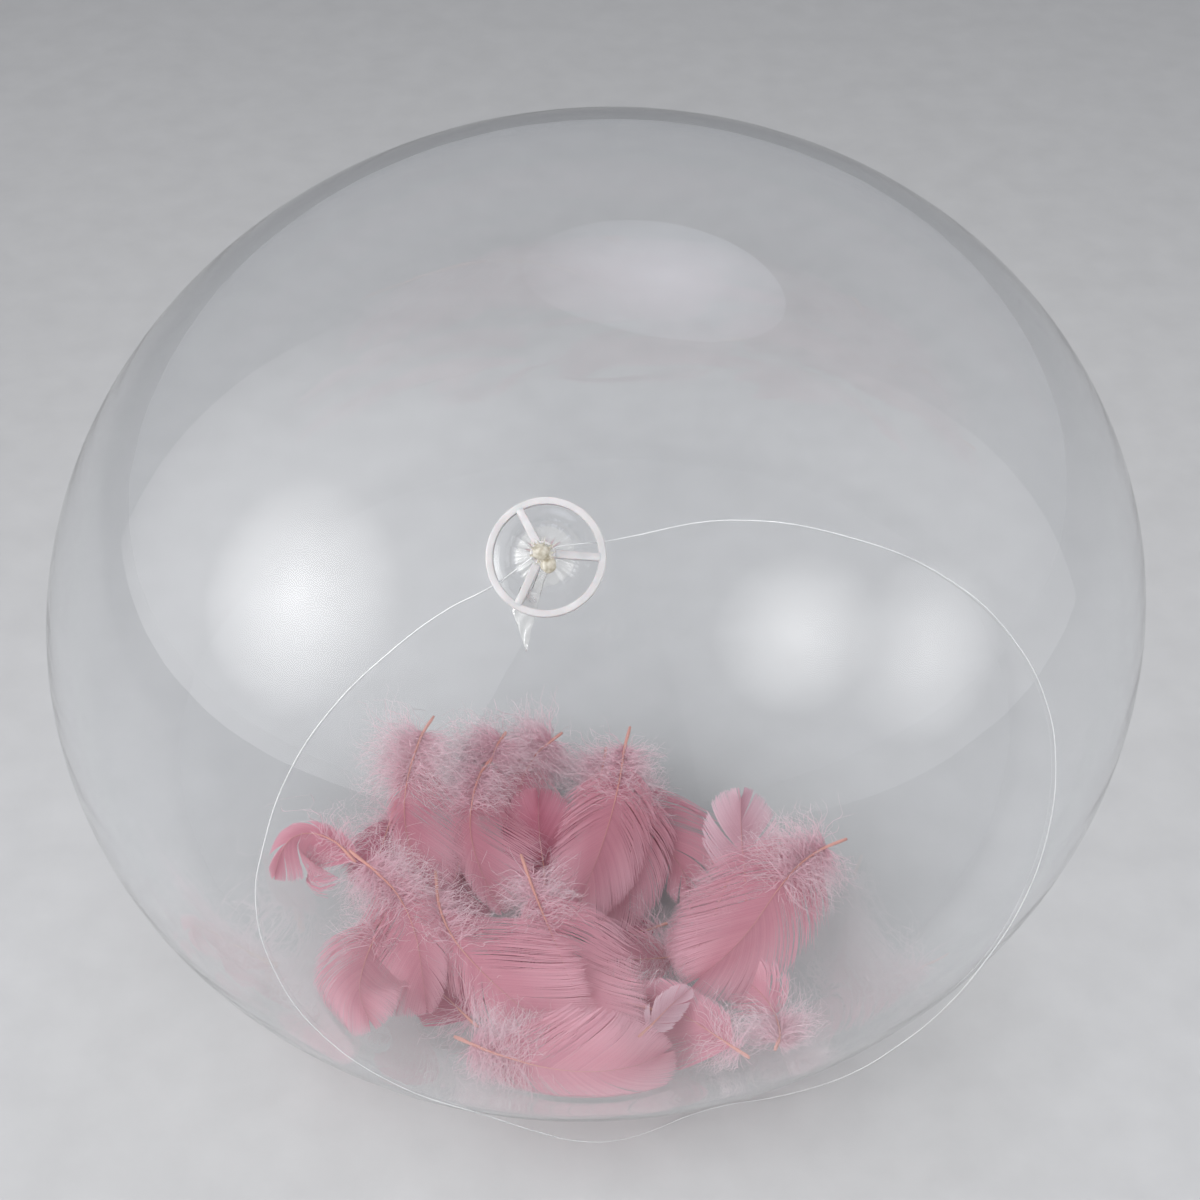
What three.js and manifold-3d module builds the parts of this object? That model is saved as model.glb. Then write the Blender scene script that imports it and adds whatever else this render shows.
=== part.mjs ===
// A clear bubble balloon, blown up, tied off and lying loose on a table.
// Its clear film is one piece: the ball, the short pleated shoulder, the neck gathered through
// the hub of a white three-spoked ring, the knot above the hub and the flat pointed tail. It is
// parted here at the shoulder into two solids, so that the groove round the neck stays open.
// A loop of thin nylon line is tied round the neck and lies over the front of the ball.
//
// Millimetres, +Z up. The origin is on the table under the middle of the ball. The neck leans
// out of the ball's upper front, so it points towards -Y and +Z.

import * as THREE from 'three';
import { mergeVertices } from 'three/addons/utils/BufferGeometryUtils.js';
import Module from 'manifold-3d';

const wasm = await Module();
wasm.setup();

// ---- driving dimensions -------------------------------------------------------------------

const BALL_WIDTH = 453; // the widest way across the ball
const BALL_HEIGHT = 416; // the narrowest way, square to the width and to the neck
const BALL_LENGTH = 424; // along the neck's axis
const BALL_ROLL = 13.5; // degrees that the wide way leans from level, its +X end up
const NECK_BEARING = 6; // degrees that the neck turns from -Y towards -X
const NECK_ELEVATION = 45.2; // degrees that the neck's axis rises
const REST_SPOT_DEPTH = 2; // how far the ball settles into its flat spot on the table

const SHOULDER_RADIUS = 24; // where the ball's curve starts to rise into the shoulder
const ROUND_RADIUS = 15; // inside this radius the shoulder is round, whatever the ball's oval
const NECK_RADIUS = 2.2; // the film gathered into a cord, inside the hub
const NECK_TOP = 18.6; // heights here are above the ball's own curve, along the neck
const PLEATS = 16;
const PLEAT_DEPTH = 0.45;
const PARTING_HEIGHT = 1.5; // where the film's solid is parted, along the neck
const PARTING_GAP = 0.3;
const PARTING_RADIUS = 17; // just wider than the shoulder there

const RIM_OUTER = 20; // outer radius of the ring's rim
const RIM_INNER = 17.5;
const RIM_BACK = 3; // the rim's back face, clear of the film so that the line passes under it
const RIM_FRONT = 5.6;
const RIM_EDGE = 0.4; // the moulded edges' chamfer
const HUB_OUTER = 4.1;
const HUB_BORE = 2.6;
const HUB_BACK = 12.4;
const HUB_FRONT = 16.2;
const SPOKES = 3;
const SPOKE_WIDTH = 2.7;
const SPOKE_BEARING = 3.5; // degrees, of the first spoke, from the right-hand side of the ring

const LINE_DIAMETER = 0.4;
const LINE_LIFT = 0.8; // the line's middle above the ball's true curve
const LINE_ON_TABLE = 0.45; // the line's middle above the table
const LINE_KNOT_HEIGHT = 17.1;
const LINE_KNOT_RADIUS = 2.95; // to the middle of the wraps
const LINE_WRAP = 0.35; // half the thickness of the wraps

// ---- fineness of the facets ---------------------------------------------------------------

const AROUND_BALL = 64;
const ALONG_BALL = 32;
const AROUND_RIM = 48;
const AROUND_HUB = 24;
const AROUND_LINE = 8;
const STEPS_PER_STRETCH = 2; // of the line, between two points of its route

// ---- frames -------------------------------------------------------------------------------

const radians = THREE.MathUtils.degToRad;
const WELD = 1e-4;

const neckAxis = new THREE.Vector3(
  -Math.sin(radians(NECK_BEARING)) * Math.cos(radians(NECK_ELEVATION)),
  -Math.cos(radians(NECK_BEARING)) * Math.cos(radians(NECK_ELEVATION)),
  Math.sin(radians(NECK_ELEVATION)),
);
const levelAxis = new THREE.Vector3(0, 0, 1).cross(neckAxis).normalize();
const risingAxis = neckAxis.clone().cross(levelAxis);
const neckTurn = new THREE.Matrix4().makeBasis(levelAxis, risingAxis, neckAxis);
const ballTurn = neckTurn.clone().multiply(new THREE.Matrix4().makeRotationZ(radians(BALL_ROLL)));

// How far the ball's oval reaches straight down from its middle.
const reach = new THREE.Vector3(0, 0, 1).applyMatrix4(ballTurn.clone().transpose());
const ballDrop = reach
  .multiply(new THREE.Vector3(BALL_WIDTH / 2, BALL_HEIGHT / 2, BALL_LENGTH / 2))
  .length();
const ballCentre = new THREE.Vector3(0, 0, ballDrop - REST_SPOT_DEPTH);
const ballFrame = new THREE.Matrix4().setPosition(ballCentre).multiply(ballTurn);
const neckFrame = new THREE.Matrix4()
  .setPosition(ballCentre)
  .multiply(neckTurn)
  .multiply(new THREE.Matrix4().makeTranslation(0, 0, BALL_LENGTH / 2));

// ---- joining and cutting ------------------------------------------------------------------

function solidOf(geometry) {
  const bare = geometry.clone();
  bare.deleteAttribute('normal');
  bare.deleteAttribute('uv');
  const welded = mergeVertices(bare, WELD);
  const corners = welded.index.array;
  const triVerts = [];
  for (let i = 0; i < corners.length; i += 3) {
    const [a, b, c] = corners.slice(i, i + 3);
    if (a !== b && b !== c && c !== a) triVerts.push(a, b, c);
  }
  return new wasm.Manifold(new wasm.Mesh({
    numProp: 3,
    vertProperties: new Float32Array(welded.attributes.position.array),
    triVerts: new Uint32Array(triVerts),
  }));
}

function geometryOf(solid) {
  const mesh = solid.getMesh();
  const geometry = new THREE.BufferGeometry();
  geometry.setAttribute('position', new THREE.BufferAttribute(mesh.vertProperties, mesh.numProp));
  geometry.setIndex(new THREE.BufferAttribute(mesh.triVerts, 1));
  geometry.computeVertexNormals();
  return geometry;
}

// A profile of (radius, height) points turned about Z.
function turned(points, around) {
  const profile = points.map(([radius, height]) => new THREE.Vector2(radius, height));
  return new THREE.LatheGeometry(profile, around).rotateX(Math.PI / 2);
}

function reshape(geometry, move) {
  const place = geometry.attributes.position;
  const point = new THREE.Vector3();
  for (let i = 0; i < place.count; i += 1) {
    move(point.fromBufferAttribute(place, i));
    place.setXYZ(i, point.x, point.y, point.z);
  }
  return geometry;
}

// ---- the film: ball, shoulder and neck ----------------------------------------------------

const MEAN_RADIUS = (BALL_WIDTH + BALL_HEIGHT) / 4;

// The shoulder and the neck, as (radius, height above the ball's tip).
const SHOULDER_PROFILE = [
  [20, -0.5],
  [16.6, 0.7],
  [14.2, 2.4],
  [12.7, 4.4],
  [11.4, 6.2],
  [10.2, 7.2],
  [9, 7.7],
  [6.4, 9],
  [4, 10.6],
  [NECK_RADIUS, 12.2],
  [NECK_RADIUS, 15.4],
  [NECK_RADIUS, NECK_TOP],
  [0, NECK_TOP],
];

function filmProfile() {
  const profile = [];
  const lastAngle = Math.PI - Math.asin(SHOULDER_RADIUS / MEAN_RADIUS);
  for (let i = 0; i <= ALONG_BALL; i += 1) {
    const angle = lastAngle * (i / ALONG_BALL);
    profile.push([MEAN_RADIUS * Math.sin(angle), -(BALL_LENGTH / 2) * Math.cos(angle)]);
  }
  profile[0][0] = 0;
  return profile.concat(
    SHOULDER_PROFILE.map(([radius, height]) => [radius, BALL_LENGTH / 2 + height]),
  );
}

// Widens the round film into the ball's oval, and pleats it from the shoulder to the neck.
function ovalAndPleats(point) {
  const radius = Math.hypot(point.x, point.y);
  const byNeck = point.z > 0 ? THREE.MathUtils.smoothstep(radius, ROUND_RADIUS, SHOULDER_RADIUS) : 1;
  const wide = 1 + (BALL_WIDTH / 2 / MEAN_RADIUS - 1) * byNeck;
  const high = 1 + (BALL_HEIGHT / 2 / MEAN_RADIUS - 1) * byNeck;
  let pleat = 1;
  const height = point.z - BALL_LENGTH / 2;
  if (height > 8 && height < HUB_BACK - 1 && radius > NECK_RADIUS) {
    pleat += (PLEAT_DEPTH / radius) * Math.cos(PLEATS * Math.atan2(point.y, point.x));
  }
  point.set(point.x * wide * pleat, point.y * high * pleat, point.z);
}

function ballAndNeck() {
  const geometry = reshape(turned(filmProfile(), AROUND_BALL), ovalAndPleats);
  return solidOf(geometry.applyMatrix4(ballFrame));
}

// ---- the film: knot and tail --------------------------------------------------------------

const KNOT_LUMPS = [
  { across: 0, up: 0, height: 20.2, radius: 2.7, half: 2.3 },
  { across: 2.6, up: -4.1, height: 19, radius: 2.6, half: 1.9 },
];

function knotLump({ across, up, height, radius, half }) {
  const lump = new THREE.SphereGeometry(1, 14, 8).rotateX(Math.PI / 2);
  lump.scale(radius, radius, half).translate(across, up, height);
  return solidOf(lump.applyMatrix4(neckFrame));
}

// The tail runs out from the knot beside the lowest spoke, under the rim and down onto the ball.
// Each station is its distance out along that spoke, its two edges to the right of the spoke's
// middle, and its height.
const TAIL_THICKNESS = 0.5;
const TAIL_STATIONS = [
  [3, 2.3, 5.2, 18.7],
  [5, 2.1, 5, 17.4],
  [7, 2, 4.9, 14.7],
  [9, 1.9, 5, 11.3],
  [11.8, 1.7, 5.3, 6.7],
  [12.8, -2, 5.4, 5.9],
  [16, -1.6, 6.1, 3.1],
  [19, -1.2, 6.7, 1.5],
  [21, -0.9, 7.1, 0.8],
  [25, 3.9, 8.2, -0.2],
  [30, 9.5, 9.9, -1.2],
];

function tail() {
  const spoke = radians(SPOKE_BEARING + (SPOKES - 1) * (360 / SPOKES));
  const last = TAIL_STATIONS.length - 1;
  const strip = new THREE.BoxGeometry(last, 1, TAIL_THICKNESS, last, 1, 1);
  reshape(strip, (point) => {
    const [out, left, right, height] = TAIL_STATIONS[Math.round(point.x + last / 2)];
    const side = THREE.MathUtils.lerp(left, right, point.y + 0.5);
    point.set(
      out * Math.cos(spoke) - side * Math.sin(spoke),
      out * Math.sin(spoke) + side * Math.cos(spoke),
      height + point.z,
    );
  });
  return solidOf(strip.applyMatrix4(neckFrame));
}

// The table flattens the ball where it rests.
function underTable() {
  const block = new THREE.BoxGeometry(BALL_WIDTH, BALL_WIDTH, BALL_WIDTH / 2);
  return solidOf(block.translate(0, 0, -BALL_WIDTH / 4));
}

function partingSlab() {
  const slab = new THREE.CylinderGeometry(PARTING_RADIUS, PARTING_RADIUS, PARTING_GAP, AROUND_RIM);
  slab.rotateX(Math.PI / 2).translate(0, 0, PARTING_HEIGHT + PARTING_GAP / 2);
  return solidOf(slab.applyMatrix4(neckFrame));
}

// The ball, and the neck with its shoulder, knot and tail.
function filmGeometries() {
  let film = ballAndNeck();
  for (const lump of KNOT_LUMPS) film = film.add(knotLump(lump));
  const parted = film.add(tail()).subtract(underTable()).subtract(partingSlab()).decompose();
  return parted.sort((a, b) => b.volume() - a.volume()).map(geometryOf);
}

// ---- the neck ring ------------------------------------------------------------------------

function rim() {
  return solidOf(turned([
    [RIM_INNER + RIM_EDGE, RIM_BACK],
    [RIM_OUTER - RIM_EDGE, RIM_BACK],
    [RIM_OUTER, RIM_BACK + RIM_EDGE],
    [RIM_OUTER, RIM_FRONT - RIM_EDGE],
    [RIM_OUTER - RIM_EDGE, RIM_FRONT],
    [RIM_INNER + RIM_EDGE, RIM_FRONT],
    [RIM_INNER, RIM_FRONT - RIM_EDGE],
    [RIM_INNER, RIM_BACK + RIM_EDGE],
    [RIM_INNER + RIM_EDGE, RIM_BACK],
  ], AROUND_RIM));
}

function hub() {
  const chamfer = 0.6;
  return solidOf(turned([
    [HUB_BORE, HUB_BACK],
    [HUB_OUTER, HUB_BACK],
    [HUB_OUTER, HUB_FRONT - chamfer],
    [HUB_OUTER - chamfer, HUB_FRONT],
    [HUB_BORE, HUB_FRONT],
    [HUB_BORE, HUB_BACK],
  ], AROUND_HUB));
}

// One spoke, seen from its side, rises from inside the rim to inside the hub's wall.
function spoke(bearing) {
  const outerEnd = RIM_OUTER - 1.2;
  const innerEnd = HUB_BORE + 0.7;
  const side = new THREE.Shape([
    new THREE.Vector2(innerEnd, HUB_BACK + 0.3),
    new THREE.Vector2(RIM_INNER, RIM_BACK + 0.8),
    new THREE.Vector2(outerEnd, RIM_BACK + 0.5),
    new THREE.Vector2(outerEnd, RIM_FRONT - 0.3),
    new THREE.Vector2(RIM_INNER - 0.4, RIM_FRONT - 0.1),
    new THREE.Vector2(innerEnd, HUB_FRONT - 1),
  ]);
  const bar = new THREE.ExtrudeGeometry(side, { depth: SPOKE_WIDTH, bevelEnabled: false });
  bar.translate(0, 0, -SPOKE_WIDTH / 2).rotateX(Math.PI / 2).rotateZ(bearing);
  return solidOf(bar);
}

function ringGeometry() {
  let ring = rim().add(hub());
  for (let i = 0; i < SPOKES; i += 1) {
    ring = ring.add(spoke(radians(SPOKE_BEARING + (i * 360) / SPOKES)));
  }
  return geometryOf(ring);
}

// ---- the nylon line -----------------------------------------------------------------------

// From the knot to just past the rim: bearing in degrees, radius and height about the neck.
const LINE_LEFT_LEAD = [
  [211, 3.7, 17.1],
  [211, 6.6, 15],
  [211, 12, 8.2],
  [211, 18.7, 1.7],
  [211, 25, 0.2],
];
const LINE_RIGHT_LEAD = [
  [19, 26, 0.2],
  [20, 19, 1.7],
  [22, 13.5, 6.8],
  [25, 8, 12.8],
  [26, 3.7, 17.1],
];

// Over the ball, as points that are then settled onto its curve.
const LINE_LEFT_OVER_BALL = [
  [-49, -157, 344],
  [-69, -162, 329],
  [-90, -168, 308],
  [-105, -172, 283],
  [-116, -177, 254],
  [-121, -178, 224],
  [-117, -180, 190],
  [-103, -181, 155],
  [-76, -179, 122],
  [-42, -171, 93],
];
const LINE_RIGHT_OVER_BALL = [
  [151, -139, 145.5],
  [163, -141.5, 185],
  [169, -139, 220],
  [169, -135, 251],
  [163, -131.5, 278],
  [147, -129, 307],
  [123, -129, 333],
  [88, -132, 354],
  [45, -137, 366],
];

// Under the ball's front: off the film, down to the table, along it, and up to the film again.
const LINE_UNDER_BALL = [
  [-24, -158, 66],
  [-7, -140, 36],
  [11, -121, 12],
  [26, -108, 2],
  [42, -99, LINE_ON_TABLE],
  [60, -93, LINE_ON_TABLE],
  [76, -90.5, 1.2],
  [95, -94, 13],
  [111.5, -104.5, 37],
  [125.5, -118, 70],
  [139, -130.5, 106.5],
];

function aroundNeck([bearing, radius, height]) {
  const angle = radians(bearing);
  const point = new THREE.Vector3(radius * Math.cos(angle), radius * Math.sin(angle), height);
  return point.applyMatrix4(neckFrame);
}

function onBall([x, y, z]) {
  const inBall = new THREE.Vector3(x, y, z).applyMatrix4(ballFrame.clone().invert());
  const scaled = inBall.clone().divide(new THREE.Vector3(
    BALL_WIDTH / 2 + LINE_LIFT,
    BALL_HEIGHT / 2 + LINE_LIFT,
    BALL_LENGTH / 2 + LINE_LIFT,
  ));
  return inBall.divideScalar(scaled.length()).applyMatrix4(ballFrame);
}

// Steps stay even between the points of the route, so they are short by the neck.
class LineRoute extends THREE.CatmullRomCurve3 {
  getPointAt(u, target) {
    return this.getPoint(u, target);
  }

  getTangentAt(u, target) {
    return this.getTangent(u, target);
  }
}

function lineGeometry() {
  const points = [
    ...LINE_LEFT_LEAD.map(aroundNeck),
    ...LINE_LEFT_OVER_BALL.map(onBall),
    ...LINE_UNDER_BALL.map((point) => new THREE.Vector3(...point)),
    ...LINE_RIGHT_OVER_BALL.map(onBall),
    ...LINE_RIGHT_LEAD.map(aroundNeck),
  ];
  const section = [];
  for (let i = 0; i < AROUND_LINE; i += 1) {
    const angle = (i / AROUND_LINE) * 2 * Math.PI;
    section.push(new THREE.Vector2(Math.cos(angle), Math.sin(angle)).multiplyScalar(LINE_DIAMETER / 2));
  }
  return new THREE.ExtrudeGeometry(new THREE.Shape(section), {
    steps: STEPS_PER_STRETCH * (points.length - 1),
    bevelEnabled: false,
    extrudePath: new LineRoute(points),
  });
}

function lineKnotGeometry() {
  return new THREE.TorusGeometry(LINE_KNOT_RADIUS, LINE_WRAP, AROUND_LINE, AROUND_HUB);
}

// ---- the object ---------------------------------------------------------------------------

const clearFilm = new THREE.MeshStandardMaterial({
  color: 0xdfe6ea,
  roughness: 0.05,
  metalness: 0,
  transparent: true,
  opacity: 0.3,
});
const whitePlastic = new THREE.MeshStandardMaterial({ color: 0xe6e3e4, roughness: 0.4, metalness: 0 });
const nylon = new THREE.MeshStandardMaterial({ color: 0xd9dcde, roughness: 0.25, metalness: 0 });

function named(name, geometry, material) {
  const mesh = new THREE.Mesh(geometry, material);
  mesh.name = name;
  return mesh;
}

const balloon = new THREE.Group();
const neck = new THREE.Group();
neck.applyMatrix4(neckFrame);
balloon.add(neck);

const [ballGeometry, filmNeckGeometry] = filmGeometries();
balloon.add(named('balloon_film', ballGeometry, clearFilm));
balloon.add(named('film_neck', filmNeckGeometry, clearFilm));
neck.add(named('neck_ring', ringGeometry(), whitePlastic));
balloon.add(named('nylon_line', lineGeometry(), nylon));

const lineKnot = named('line_knot', lineKnotGeometry(), nylon);
lineKnot.position.z = LINE_KNOT_HEIGHT;
neck.add(lineKnot);

export default balloon;
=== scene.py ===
# %% [markdown]
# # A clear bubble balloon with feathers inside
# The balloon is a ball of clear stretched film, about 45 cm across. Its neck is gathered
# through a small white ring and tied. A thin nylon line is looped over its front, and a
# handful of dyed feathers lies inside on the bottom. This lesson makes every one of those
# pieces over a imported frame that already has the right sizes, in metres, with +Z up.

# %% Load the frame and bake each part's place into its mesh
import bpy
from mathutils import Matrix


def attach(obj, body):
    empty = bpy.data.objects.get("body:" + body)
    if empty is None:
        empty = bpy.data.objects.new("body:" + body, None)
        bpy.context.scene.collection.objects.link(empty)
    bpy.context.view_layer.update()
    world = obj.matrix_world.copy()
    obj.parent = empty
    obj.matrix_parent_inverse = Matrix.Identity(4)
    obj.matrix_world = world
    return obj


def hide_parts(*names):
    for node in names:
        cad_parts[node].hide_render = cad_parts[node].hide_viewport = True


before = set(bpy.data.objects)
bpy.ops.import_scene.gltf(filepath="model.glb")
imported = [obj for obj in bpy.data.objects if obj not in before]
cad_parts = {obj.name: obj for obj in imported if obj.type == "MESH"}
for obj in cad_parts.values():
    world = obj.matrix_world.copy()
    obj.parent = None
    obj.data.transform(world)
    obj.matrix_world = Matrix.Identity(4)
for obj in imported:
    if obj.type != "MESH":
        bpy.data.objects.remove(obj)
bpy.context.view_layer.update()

from math import cos, pi, radians, sin, tan

import bmesh
import bpy
import numpy as np
from mathutils import Matrix, Vector

MM = 0.001
print("frame nodes:", ", ".join(sorted(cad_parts)))

# %% [markdown]
# ## Where things are on the balloon
# A blown-up balloon is never a true ball. This one is widest across, a little less along its
# neck, and least the third way, and it lies rolled a little to one side with its neck leaning
# out of its upper front. Most pieces sit round the neck, so two local frames save a lot of
# arithmetic: one in the middle of the ball, and one at the ball's tip, where the neck starts.

# %% The ball's three sizes and the two local frames
BALL_WIDTH, BALL_HEIGHT, BALL_LENGTH = 453 * MM, 416 * MM, 424 * MM
BALL_ROLL = radians(13.5)
NECK_BEARING, NECK_ELEVATION = radians(6), radians(45.2)
REST_SPOT_DEPTH = 2 * MM

neck_axis = Vector((-sin(NECK_BEARING) * cos(NECK_ELEVATION),
                    -cos(NECK_BEARING) * cos(NECK_ELEVATION),
                    sin(NECK_ELEVATION)))
level_axis = Vector((0, 0, 1)).cross(neck_axis).normalized()
rising_axis = neck_axis.cross(level_axis)
neck_turn = Matrix((level_axis, rising_axis, neck_axis)).transposed().to_4x4()
ball_turn = neck_turn @ Matrix.Rotation(BALL_ROLL, 4, "Z")

ball_half = Vector((BALL_WIDTH / 2, BALL_HEIGHT / 2, BALL_LENGTH / 2))
straight_down = ball_turn.transposed() @ Vector((0, 0, 1))
ball_drop = Vector([a * b for a, b in zip(straight_down, ball_half)]).length
ball_centre = Vector((0, 0, ball_drop - REST_SPOT_DEPTH))
ball_frame = Matrix.Translation(ball_centre) @ ball_turn
neck_frame = (Matrix.Translation(ball_centre) @ neck_turn
              @ Matrix.Translation((0, 0, BALL_LENGTH / 2)))
print("ball centre in mm:", [round(c / MM, 1) for c in ball_centre])


def about_neck(bearing, radius, height):
    """A point from its bearing in degrees, and its radius and height in mm, about the neck."""
    angle = radians(bearing)
    return neck_frame @ (Vector((radius * cos(angle), radius * sin(angle), height)) * MM)


def settled_on_ball(point, lift):
    """The same point moved straight in or out until it lies lift above the ball's curve."""
    inner = ball_frame.inverted() @ Vector(point)
    grown = ball_half + Vector((lift, lift, lift))
    reach = Vector([a / b for a, b in zip(inner, grown)]).length
    return ball_frame @ (inner / reach)


# %% [markdown]
# ## The camera
# The balloon is seen from in front and well above, from about a metre away, so a longer lens
# is used and the neck ring comes out near the middle of the view.

# %% Set the camera
LENS, SENSOR_WIDTH = 71.4, 36
CAMERA_PLACE, CAMERA_TILT = (0.0019, -0.7622, 0.8559), radians(50)


def in_scene(name, data):
    """A new object with this data, linked into the scene."""
    thing = bpy.data.objects.new(name, data)
    bpy.context.scene.collection.objects.link(thing)
    return thing


camera_data = bpy.data.cameras.new("camera")
camera_data.lens = LENS
camera_data.sensor_width = SENSOR_WIDTH
camera = in_scene("camera", camera_data)
camera.location = CAMERA_PLACE
camera.rotation_euler = (CAMERA_TILT, 0, 0)
bpy.context.scene.camera = camera
print("camera at", [round(c, 3) for c in camera.location])

# %% [markdown]
# ## The nylon line
# The line is clear fishing line, 0.4 mm thick and a little over a metre long. Both of its
# ends are tied round the neck. The loop between them clings to the front of the ball and
# touches the table at its lowest part. A curve with a round bevel is the natural way to make
# it: a few dozen points give its lie, and its thickness stays one number.

# %% The points that the line follows, in mm
LINE_DIAMETER = 0.4 * MM
LINE_LIFT = 0.8 * MM
# Over the line's radius, in mm, because the smooth curve dips between its points.
LINE_ON_TABLE = 0.55

# The leads are bearing, radius and height about the neck. The rest are plain x, y and z.
left_lead = [(211, 3.7, 17.1), (211, 6.6, 15), (211, 12, 8.2), (211, 18.7, 1.7), (211, 25, 0.2)]
left_over_ball = [
    (-49, -157, 344), (-69, -162, 329), (-90, -168, 308), (-105, -172, 283),
    (-116, -177, 254), (-121, -178, 224), (-117, -180, 190), (-103, -181, 155),
    (-76, -179, 122), (-42, -171, 93)]
under_ball = [
    (-24, -158, 66), (-7, -140, 36), (11, -121, 12), (26, -108, 2),
    (42, -99, LINE_ON_TABLE), (60, -93, LINE_ON_TABLE), (76, -90.5, 1.2), (95, -94, 13),
    (111.5, -104.5, 37), (125.5, -118, 70), (139, -130.5, 106.5)]
right_over_ball = [
    (151, -139, 145.5), (163, -141.5, 185), (169, -139, 220), (169, -135, 251),
    (163, -131.5, 278), (147, -129, 307), (123, -129, 333), (88, -132, 354), (45, -137, 366)]
right_lead = [(19, 26, 0.2), (20, 19, 1.7), (22, 13.5, 6.8), (25, 8, 12.8), (26, 3.7, 17.1)]

line_points = [about_neck(*place) for place in left_lead]
line_points += [settled_on_ball(Vector(p) * MM, LINE_LIFT) for p in left_over_ball]
line_points += [Vector(p) * MM for p in under_ball]
line_points += [settled_on_ball(Vector(p) * MM, LINE_LIFT) for p in right_over_ball]
line_points += [about_neck(*place) for place in right_lead]
print("points on the line:", len(line_points))


# %% Draw the line as one smooth curve
def smooth_cord(name, points, thickness):
    """A round cord through the points, as a curve object."""
    data = bpy.data.curves.new(name, "CURVE")
    data.dimensions = "3D"
    data.resolution_u = 6
    data.bevel_depth = thickness / 2
    data.bevel_resolution = 2
    data.use_fill_caps = True
    spline = data.splines.new("BEZIER")
    spline.bezier_points.add(len(points) - 1)
    for knot, point in zip(spline.bezier_points, points):
        knot.co = point
        knot.handle_left_type = knot.handle_right_type = "AUTO"
    return in_scene(name, data)


def smooth_between(before, start, end, after, t):
    """The point that is t of the way from start to end, on a smooth run through all four."""
    return 0.5 * (2 * start + (end - before) * t
                  + (2 * before - 5 * start + 4 * end - after) * t ** 2
                  + (3 * start - before - 3 * end + after) * t ** 3)


nylon_line = smooth_cord("nylon_line_drawn", line_points, LINE_DIAMETER)

# %% [markdown]
# ## Helpers for meshes and materials
# Every piece ends up as one object at the origin with its place in its mesh, so one helper
# turns a finished bmesh into such an object. The others start a material, set its shader's
# plain values, and let a noise vary its colour or roughen its surface.

# %% Turn a bmesh into a finished object
def finished(bm, name, frame_of_piece, materials):
    """Place the bmesh, and make it an object that sits at the origin."""
    bmesh.ops.transform(bm, matrix=frame_of_piece, verts=bm.verts)
    mesh = bpy.data.meshes.new(name)
    bm.to_mesh(mesh)
    bm.free()
    mesh.polygons.foreach_set("use_smooth", [True] * len(mesh.polygons))
    for material in materials:
        mesh.materials.append(material)
    return in_scene(name, mesh)


# %% Start a material, and vary it with a noise
def new_material(name):
    """A material with its principled shader, as (material, nodes, links, shader)."""
    material = bpy.data.materials.new(name)
    material.use_nodes = True
    nodes, links = material.node_tree.nodes, material.node_tree.links
    return material, nodes, links, nodes["Principled BSDF"]


def set_shader(shader, **values):
    """Set the shader's own sockets. A socket's name is written with _ for each space."""
    for socket, value in values.items():
        shader.inputs[socket.replace("_", " ")].default_value = value


def noise_on_object(nodes, links, scale, detail, stretch=(1, 1, 1), turn=(0, 0, 0)):
    """A noise over the object's own coordinates, turned and stretched to suit the piece."""
    place = nodes.new("ShaderNodeTexCoord")
    mapping = nodes.new("ShaderNodeMapping")
    mapping.inputs["Rotation"].default_value = turn
    mapping.inputs["Scale"].default_value = stretch
    noise = nodes.new("ShaderNodeTexNoise")
    noise.inputs["Scale"].default_value = scale
    noise.inputs["Detail"].default_value = detail
    links.new(place.outputs["Object"], mapping.inputs["Vector"])
    links.new(mapping.outputs["Vector"], noise.inputs["Vector"])
    return noise


def bump_from(nodes, links, shader, noise, depth, strength):
    """Let a noise raise and lower the surface, in its shading alone."""
    bump = nodes.new("ShaderNodeBump")
    bump.inputs["Distance"].default_value = depth
    bump.inputs["Strength"].default_value = strength
    links.new(noise.outputs["Fac"], bump.inputs["Height"])
    links.new(bump.outputs["Normal"], shader.inputs["Normal"])


def two_colours(nodes, links, factor, dark, light, start=0.3, end=0.7):
    """A ramp from the dark to the light colour between two values of the factor."""
    ramp = nodes.new("ShaderNodeValToRGB")
    ramp.color_ramp.elements[0].position = start
    ramp.color_ramp.elements[0].color = (*dark, 1)
    ramp.color_ramp.elements[1].position = end
    ramp.color_ramp.elements[1].color = (*light, 1)
    links.new(factor, ramp.inputs["Fac"])
    return ramp


def mottle(nodes, links, shader, noise, dark, light):
    """Let a noise mix the shader's colour from a dark and a light one."""
    ramp = two_colours(nodes, links, noise.outputs["Fac"], dark, light)
    links.new(ramp.outputs["Color"], shader.inputs["Base Color"])


# %% [markdown]
# ## The film: ball, shoulder and neck
# The film starts as a small flat bag and stretches to a tenth of a millimetre thick. It could
# be a single sheet, but a real clear sheet bends light twice, going in and coming out. So it
# gets an outer and an inner wall with 0.3 mm between them. Both walls are one profile spun
# about the neck's axis, which keeps the facets in even rings round the neck.

# %% The profile from the bottom of the ball to the top of the neck
MEAN_RADIUS = (BALL_WIDTH + BALL_HEIGHT) / 4
WALL = 0.3 * MM
SHOULDER_RADIUS, ROUND_RADIUS = 24 * MM, 15 * MM
NECK_RADIUS, NECK_TOP, INNER_TOP = 2.2, 18.6, 9
ROWS_ON_BALL, FACES_ROUND = 120, 192
# Radius and height above the ball's tip, in mm.
shoulder = [(20, -0.5), (16.6, 0.7), (14.2, 2.4), (12.7, 4.4), (11.4, 6.2), (10.2, 7.2),
            (9, 7.7), (6.4, 9), (4, 10.6), (NECK_RADIUS, 12.2), (NECK_RADIUS, 15.4),
            (NECK_RADIUS, NECK_TOP), (0, NECK_TOP)]


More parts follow.
